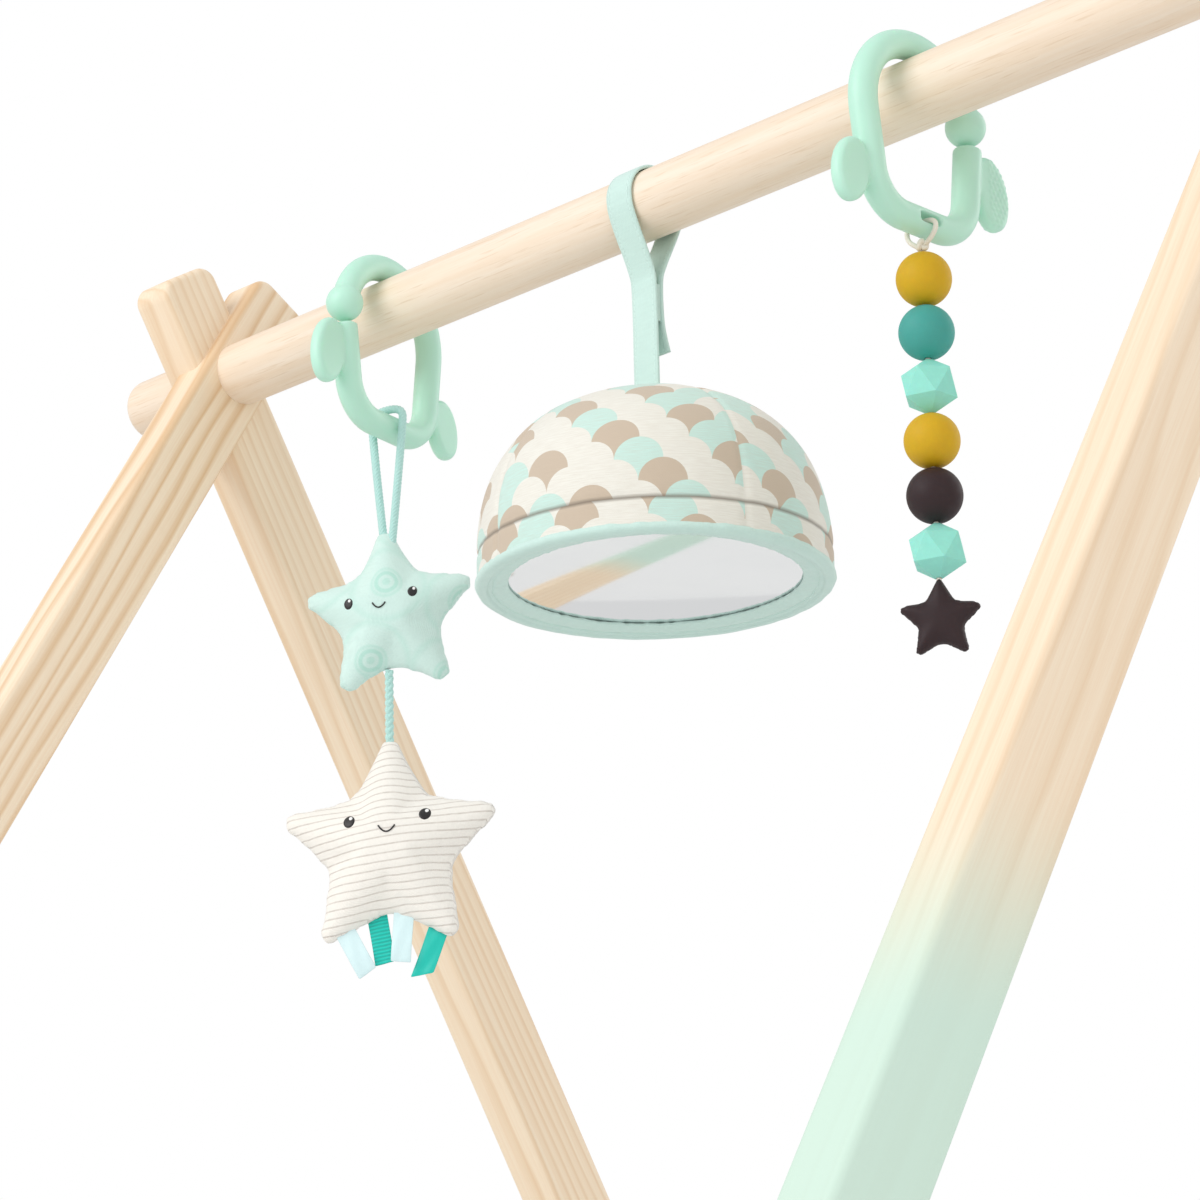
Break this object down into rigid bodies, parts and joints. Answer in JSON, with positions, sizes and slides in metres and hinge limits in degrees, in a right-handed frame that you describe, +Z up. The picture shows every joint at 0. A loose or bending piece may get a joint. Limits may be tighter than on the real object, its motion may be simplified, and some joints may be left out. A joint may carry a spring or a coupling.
{
  "type": "activity play gym",
  "caption": "Wooden A-frame activity gym for a baby: a round crossbar on crossed legs, with plush stars, a padded mirror dome and a bead string on link rings.",
  "frame": {"origin": "on the floor, at the centre of the box round the whole gym", "axes": "+X along the crossbar towards the bead string's end, +Y from the front to the back, +Z up"},
  "size_m": [0.642, 0.6944, 0.5845],
  "materials": {
    "dipped_pine": "matt, foot end dipped in mint paint",
    "dowel_wood": "smooth sanded",
    "mint_plastic": "soft satin",
    "aqua_cord": "braided",
    "mint_print_cloth": "printed weave",
    "striped_cloth": "striped jersey",
    "stuffing": "loose fibre",
    "pale_ribbon": "satin",
    "teal_ribbon": "ribbed grosgrain",
    "mint_cloth": "plain weave",
    "hook_tape": "hook and loop",
    "scallop_cloth": "printed weave",
    "mirror": "polished acrylic",
    "board": "plain",
    "white_cord": "twisted",
    "mustard_silicone": "matt",
    "teal_silicone": "matt",
    "aqua_silicone": "matt",
    "plum_silicone": "matt"
  },
  "bodies": {
    "gym_frame": {"crossbar": "dowel_wood", "left_front_leg": "dipped_pine", "left_back_leg": "dipped_pine", "right_front_leg": "dipped_pine", "right_back_leg": "dipped_pine"},
    "left_ring": {"left_link_ring": "mint_plastic"},
    "small_star": {"star_loop_cord": "aqua_cord", "small_star_cover": "mint_print_cloth", "small_star_stuffing": "stuffing"},
    "big_star": {"star_link_cord": "aqua_cord", "big_star_cover": "striped_cloth", "big_star_stuffing": "stuffing", "tag_pale_left": "pale_ribbon", "tag_teal_left": "teal_ribbon", "tag_pale_right": "pale_ribbon", "tag_teal_right": "teal_ribbon"},
    "mirror_toy": {"mirror_strap": "mint_cloth", "strap_hook_patch": "hook_tape", "strap_loop_patch": "hook_tape", "dome_cover": "scallop_cloth", "dome_band": "scallop_cloth", "dome_padding": "stuffing", "rim_binding": "mint_cloth", "mirror_facing": "mint_cloth", "mirror_plate": "mirror", "mirror_backing": "board"},
    "right_ring": {"right_link_ring": "mint_plastic"},
    "bead_string": {"bead_cord": "white_cord", "bead_knot": "white_cord"},
    "bead_mustard_top_body": {"bead_mustard_top": "mustard_silicone"},
    "bead_teal_body": {"bead_teal": "teal_silicone"},
    "bead_gem_top_body": {"bead_gem_top": "aqua_silicone"},
    "bead_mustard_low_body": {"bead_mustard_low": "mustard_silicone"},
    "bead_plum_body": {"bead_plum": "plum_silicone"},
    "bead_gem_low_body": {"bead_gem_low": "aqua_silicone"},
    "bead_star_body": {"bead_star": "plum_silicone"}
  },
  "joints": [
    {"name": "left_ring_swing", "type": "hinge", "parent": "gym_frame", "child": "left_ring", "pos_m": [-0.173, 0, 0.54], "axis": [1, 0, 0], "range_deg": [-40, 40]},
    {"name": "small_star_swing", "type": "hinge", "parent": "left_ring", "child": "small_star", "pos_m": [-0.173, 0, 0.493], "axis": [-0.1908, 0.9816, 0], "range_deg": [-15, 15]},
    {"name": "big_star_swing", "type": "hinge", "parent": "small_star", "child": "big_star", "pos_m": [-0.173, 0, 0.39607], "axis": [0.5736, -0.8192, 0], "range_deg": [-15, 15]},
    {"name": "mirror_swing", "type": "hinge", "parent": "gym_frame", "child": "mirror_toy", "pos_m": [-0.033, 0, 0.54], "axis": [1, 0, 0], "range_deg": [-40, 40]},
    {"name": "right_ring_swing", "type": "hinge", "parent": "gym_frame", "child": "right_ring", "pos_m": [0.096, 0, 0.54], "axis": [1, 0, 0], "range_deg": [-40, 40]},
    {"name": "bead_string_swing", "type": "hinge", "parent": "right_ring", "child": "bead_string", "pos_m": [0.096, 0, 0.493], "axis": [1, 0, 0], "range_deg": [-20, 20]},
    {"name": "bead_mustard_top_spin", "type": "hinge", "parent": "bead_string", "child": "bead_mustard_top_body", "pos_m": [0.096, 0, 0.45], "axis": [0, 0, 1], "continuous": true},
    {"name": "bead_teal_spin", "type": "hinge", "parent": "bead_string", "child": "bead_teal_body", "pos_m": [0.096, 0, 0.45], "axis": [0, 0, 1], "continuous": true},
    {"name": "bead_gem_top_spin", "type": "hinge", "parent": "bead_string", "child": "bead_gem_top_body", "pos_m": [0.096, 0, 0.45], "axis": [0, 0, 1], "continuous": true},
    {"name": "bead_mustard_low_spin", "type": "hinge", "parent": "bead_string", "child": "bead_mustard_low_body", "pos_m": [0.096, 0, 0.45], "axis": [0, 0, 1], "continuous": true},
    {"name": "bead_plum_spin", "type": "hinge", "parent": "bead_string", "child": "bead_plum_body", "pos_m": [0.096, 0, 0.45], "axis": [0, 0, 1], "continuous": true},
    {"name": "bead_gem_low_spin", "type": "hinge", "parent": "bead_string", "child": "bead_gem_low_body", "pos_m": [0.096, 0, 0.45], "axis": [0, 0, 1], "continuous": true},
    {"name": "bead_star_spin", "type": "hinge", "parent": "bead_string", "child": "bead_star_body", "pos_m": [0.096, 0, 0.45], "axis": [0, 0, 1], "continuous": true}
  ]
}
